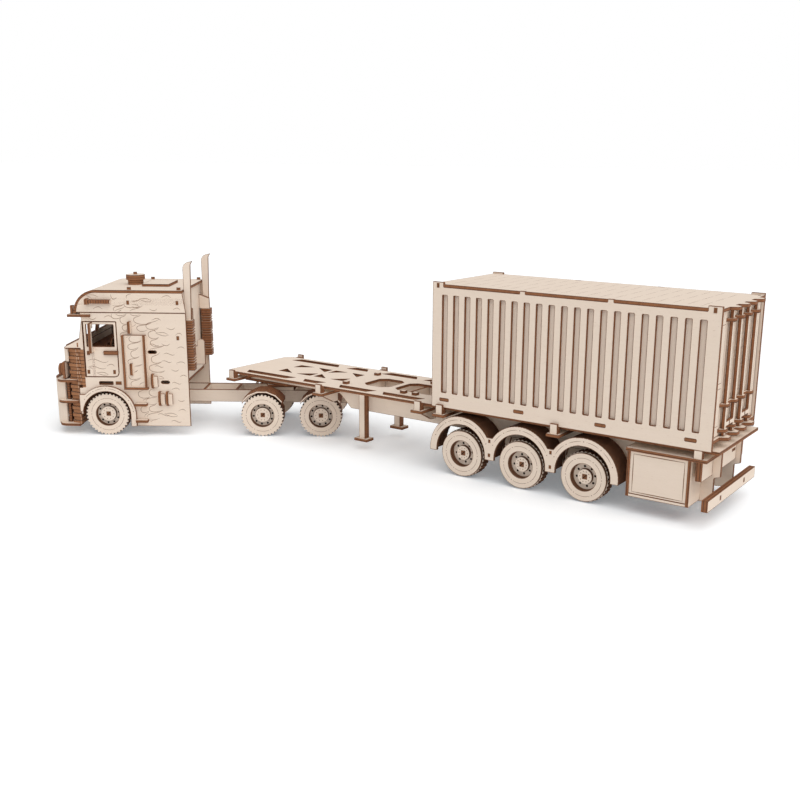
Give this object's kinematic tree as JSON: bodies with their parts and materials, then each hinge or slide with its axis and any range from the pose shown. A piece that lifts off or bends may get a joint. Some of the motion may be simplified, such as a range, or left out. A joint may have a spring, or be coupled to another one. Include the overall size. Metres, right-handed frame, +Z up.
{
  "type": "wooden model truck kit",
  "caption": "Plywood model of an articulated lorry: cab tractor with bull bar and stacks, hinged to a container semitrailer with opening doors.",
  "frame": {"origin": "centre of the bounding box on the floor", "axes": "+X along the trailer towards its front, +Y to the trailer's left, +Z up; the tractor stands turned 34.5 degrees to the left about the kingpin"},
  "size_m": [0.8215, 0.2876, 0.208],
  "materials": {
    "plywood": "bare birch plywood with dark laser-cut edges"
  },
  "bodies": {
    "trailer": {"trailer_rails": "plywood", "trailer_cross_members": "plywood", "trailer_deck": "plywood", "kingpin_plate": "plywood", "container_bolsters": "plywood", "trailer_fender_left": "plywood", "trailer_fender_right": "plywood", "toolbox_left": "plywood", "toolbox_right": "plywood", "rear_bumper": "plywood", "landing_legs": "plywood", "container_side_left": "plywood", "container_side_right": "plywood", "container_linings": "plywood", "container_front": "plywood", "container_floor": "plywood", "container_roof": "plywood"},
    "container_left_leaf": {"container_door_left": "plywood", "container_lock_left": "plywood"},
    "container_right_leaf": {"container_door_right": "plywood", "container_lock_right": "plywood"},
    "trailer_axle_front": {"trailer_axle_1": "plywood"},
    "trailer_axle_middle": {"trailer_axle_2": "plywood"},
    "trailer_axle_rear": {"trailer_axle_3": "plywood"},
    "tractor": {"tractor_rails": "plywood", "tractor_cross_members": "plywood", "fifth_wheel": "plywood", "front_axle_beam": "plywood", "drive_fenders": "plywood", "cab_side_left": "plywood", "cab_side_right": "plywood", "arch_flares": "plywood", "side_box_left": "plywood", "side_box_right": "plywood", "roof_side_left": "plywood", "roof_side_right": "plywood", "cab_roof": "plywood", "roof_beacon": "plywood", "sun_visor": "plywood", "cab_back": "plywood", "windscreen_frame": "plywood", "cab_floor": "plywood", "seats": "plywood", "dashboard": "plywood", "grille_stack": "plywood", "grille_plate": "plywood", "bull_bar": "plywood", "exhaust_left": "plywood", "exhaust_right": "plywood"},
    "drive_front": {"drive_axle_front": "plywood"},
    "drive_rear": {"drive_axle_rear": "plywood"},
    "left_knuckle": {"knuckle_left": "plywood"},
    "right_knuckle": {"knuckle_right": "plywood"},
    "left_front_wheel": {"front_wheel_left": "plywood"},
    "right_front_wheel": {"front_wheel_right": "plywood"},
    "left_cab_door": {"cab_door_left": "plywood"},
    "right_cab_door": {"cab_door_right": "plywood"}
  },
  "joints": [
    {"name": "kingpin_turn", "type": "hinge", "parent": "trailer", "child": "tractor", "pos_m": [0.1612, -0.0523, 0.055], "axis": [0, 0, 1], "range_deg": [-119.5, 50.5]},
    {"name": "container_left_leaf_swing", "type": "hinge", "parent": "trailer", "child": "container_left_leaf", "pos_m": [-0.3993, 0.003, 0.141], "axis": [0, 0, 1], "range_deg": [-100, 0]},
    {"name": "container_right_leaf_swing", "type": "hinge", "parent": "trailer", "child": "container_right_leaf", "pos_m": [-0.3993, -0.1076, 0.141], "axis": [0, 0, 1], "range_deg": [0, 100]},
    {"name": "trailer_axle_front_spin", "type": "hinge", "parent": "trailer", "child": "trailer_axle_front", "pos_m": [-0.1368, -0.0523, 0.0255], "axis": [0, 1, 0], "continuous": true},
    {"name": "trailer_axle_middle_spin", "type": "hinge", "parent": "trailer", "child": "trailer_axle_middle", "pos_m": [-0.2074, -0.0523, 0.0255], "axis": [0, 1, 0], "continuous": true},
    {"name": "trailer_axle_rear_spin", "type": "hinge", "parent": "trailer", "child": "trailer_axle_rear", "pos_m": [-0.278, -0.0523, 0.0255], "axis": [0, 1, 0], "continuous": true},
    {"name": "drive_front_spin", "type": "hinge", "parent": "tractor", "child": "drive_front", "pos_m": [0.17851, -0.04041, 0.0255], "axis": [-0.5664, 0.8241, 0], "continuous": true},
    {"name": "drive_rear_spin", "type": "hinge", "parent": "tractor", "child": "drive_rear", "pos_m": [0.12082, -0.08005, 0.0255], "axis": [-0.5664, 0.8241, 0], "continuous": true},
    {"name": "steering_left", "type": "hinge", "parent": "tractor", "child": "left_knuckle", "pos_m": [0.31034, 0.0951, 0.0255], "axis": [0, 0, 1], "range_deg": [-15, 15]},
    {"name": "steering_right", "type": "hinge", "parent": "tractor", "child": "right_knuckle", "pos_m": [0.35226, 0.03411, 0.0255], "axis": [0, 0, 1], "range_deg": [-15, 15]},
    {"name": "front_wheel_left_spin", "type": "hinge", "parent": "left_knuckle", "child": "left_front_wheel", "pos_m": [0.30185, 0.10746, 0.0255], "axis": [-0.5664, 0.8241, 0], "continuous": true},
    {"name": "front_wheel_right_spin", "type": "hinge", "parent": "right_knuckle", "child": "right_front_wheel", "pos_m": [0.36075, 0.02175, 0.0255], "axis": [-0.5664, 0.8241, 0], "continuous": true},
    {"name": "cab_door_left_swing", "type": "hinge", "parent": "tractor", "child": "left_cab_door", "pos_m": [0.31539, 0.12466, 0.104], "axis": [0, 0, 1], "range_deg": [-65, 0]},
    {"name": "cab_door_right_swing", "type": "hinge", "parent": "tractor", "child": "right_cab_door", "pos_m": [0.38166, 0.02823, 0.104], "axis": [0, 0, 1], "range_deg": [0, 65]}
  ],
  "couplings": [
    {"joint": "steering_right", "follows": "steering_left", "ratio": 1}
  ]
}
